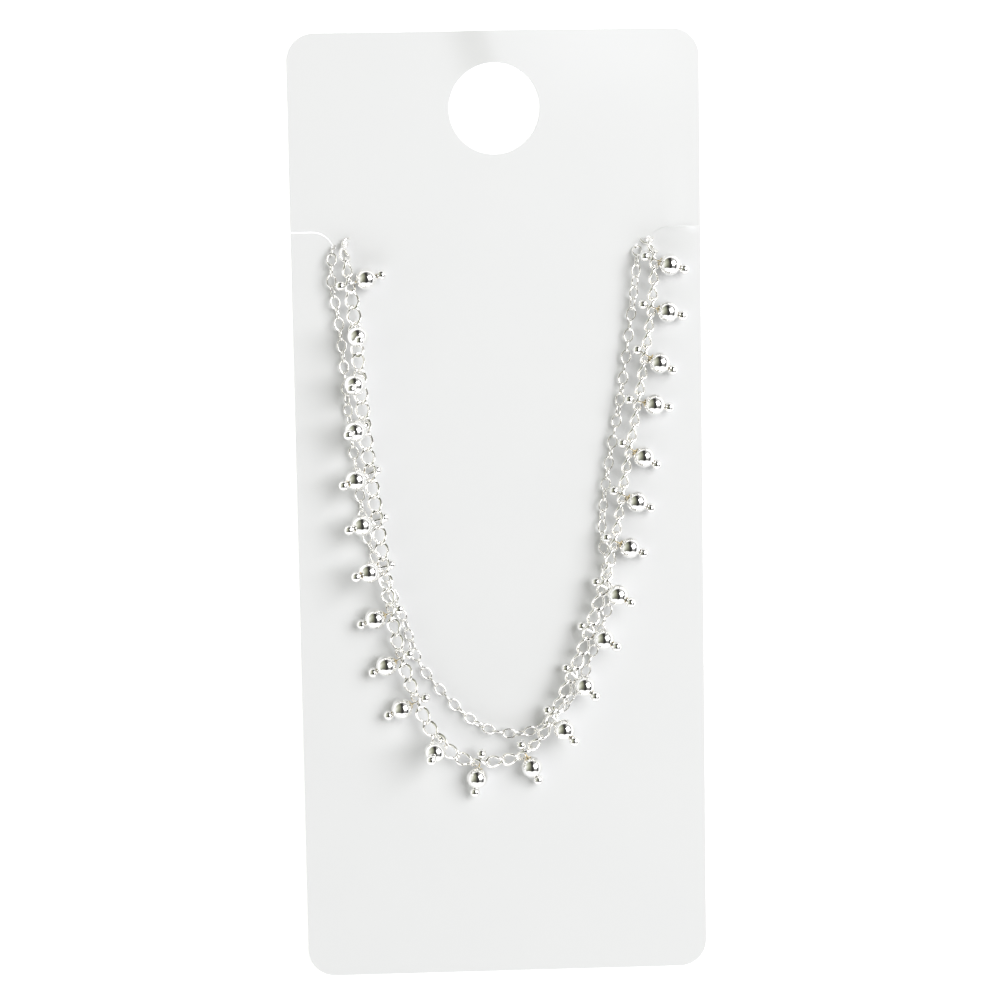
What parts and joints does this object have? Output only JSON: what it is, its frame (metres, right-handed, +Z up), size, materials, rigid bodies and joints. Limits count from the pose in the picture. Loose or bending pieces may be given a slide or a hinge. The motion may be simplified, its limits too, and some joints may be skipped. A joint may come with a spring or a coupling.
{
  "type": "payal anklet on a display card",
  "caption": "Two-strand ankle chain with small round bead drops along its outer side, draped in a long U over a slotted white hanging card",
  "frame": {"origin": "centre of the bottom of the bounding box, on the surface that the card lies on", "axes": "+Z up out of the card's front face, +Y towards the card's top with the hang hole, +X to the right"},
  "size_m": [0.06, 0.14, 0.0104],
  "materials": {
    "silver": "polished",
    "board_white": "coated white card with a soft sheen"
  },
  "bodies": {
    "root": {"display_card": "board_white", "main_chain": "silver", "fine_chain": "silver", "drop_pin_01": "silver", "drop_bead_01": "silver", "drop_pin_02": "silver", "drop_bead_02": "silver", "drop_pin_03": "silver", "drop_bead_03": "silver", "drop_pin_04": "silver", "drop_bead_04": "silver", "drop_pin_05": "silver", "drop_bead_05": "silver", "drop_pin_06": "silver", "drop_bead_06": "silver", "drop_pin_07": "silver", "drop_bead_07": "silver", "drop_pin_08": "silver", "drop_bead_08": "silver", "drop_pin_09": "silver", "drop_bead_09": "silver", "drop_pin_10": "silver", "drop_bead_10": "silver", "drop_pin_11": "silver", "drop_bead_11": "silver", "drop_pin_12": "silver", "drop_bead_12": "silver", "drop_pin_13": "silver", "drop_bead_13": "silver", "drop_pin_14": "silver", "drop_bead_14": "silver", "drop_pin_15": "silver", "drop_bead_15": "silver", "drop_pin_16": "silver", "drop_bead_16": "silver", "drop_pin_17": "silver", "drop_bead_17": "silver", "drop_pin_18": "silver", "drop_bead_18": "silver", "drop_pin_19": "silver", "drop_bead_19": "silver", "drop_pin_20": "silver", "drop_bead_20": "silver", "drop_pin_21": "silver", "drop_bead_21": "silver", "drop_pin_22": "silver", "drop_bead_22": "silver", "drop_pin_23": "silver", "drop_bead_23": "silver", "drop_pin_24": "silver", "drop_bead_24": "silver", "clasp": "silver", "ring_left": "silver", "ring_right": "silver"}
  },
  "joints": []
}
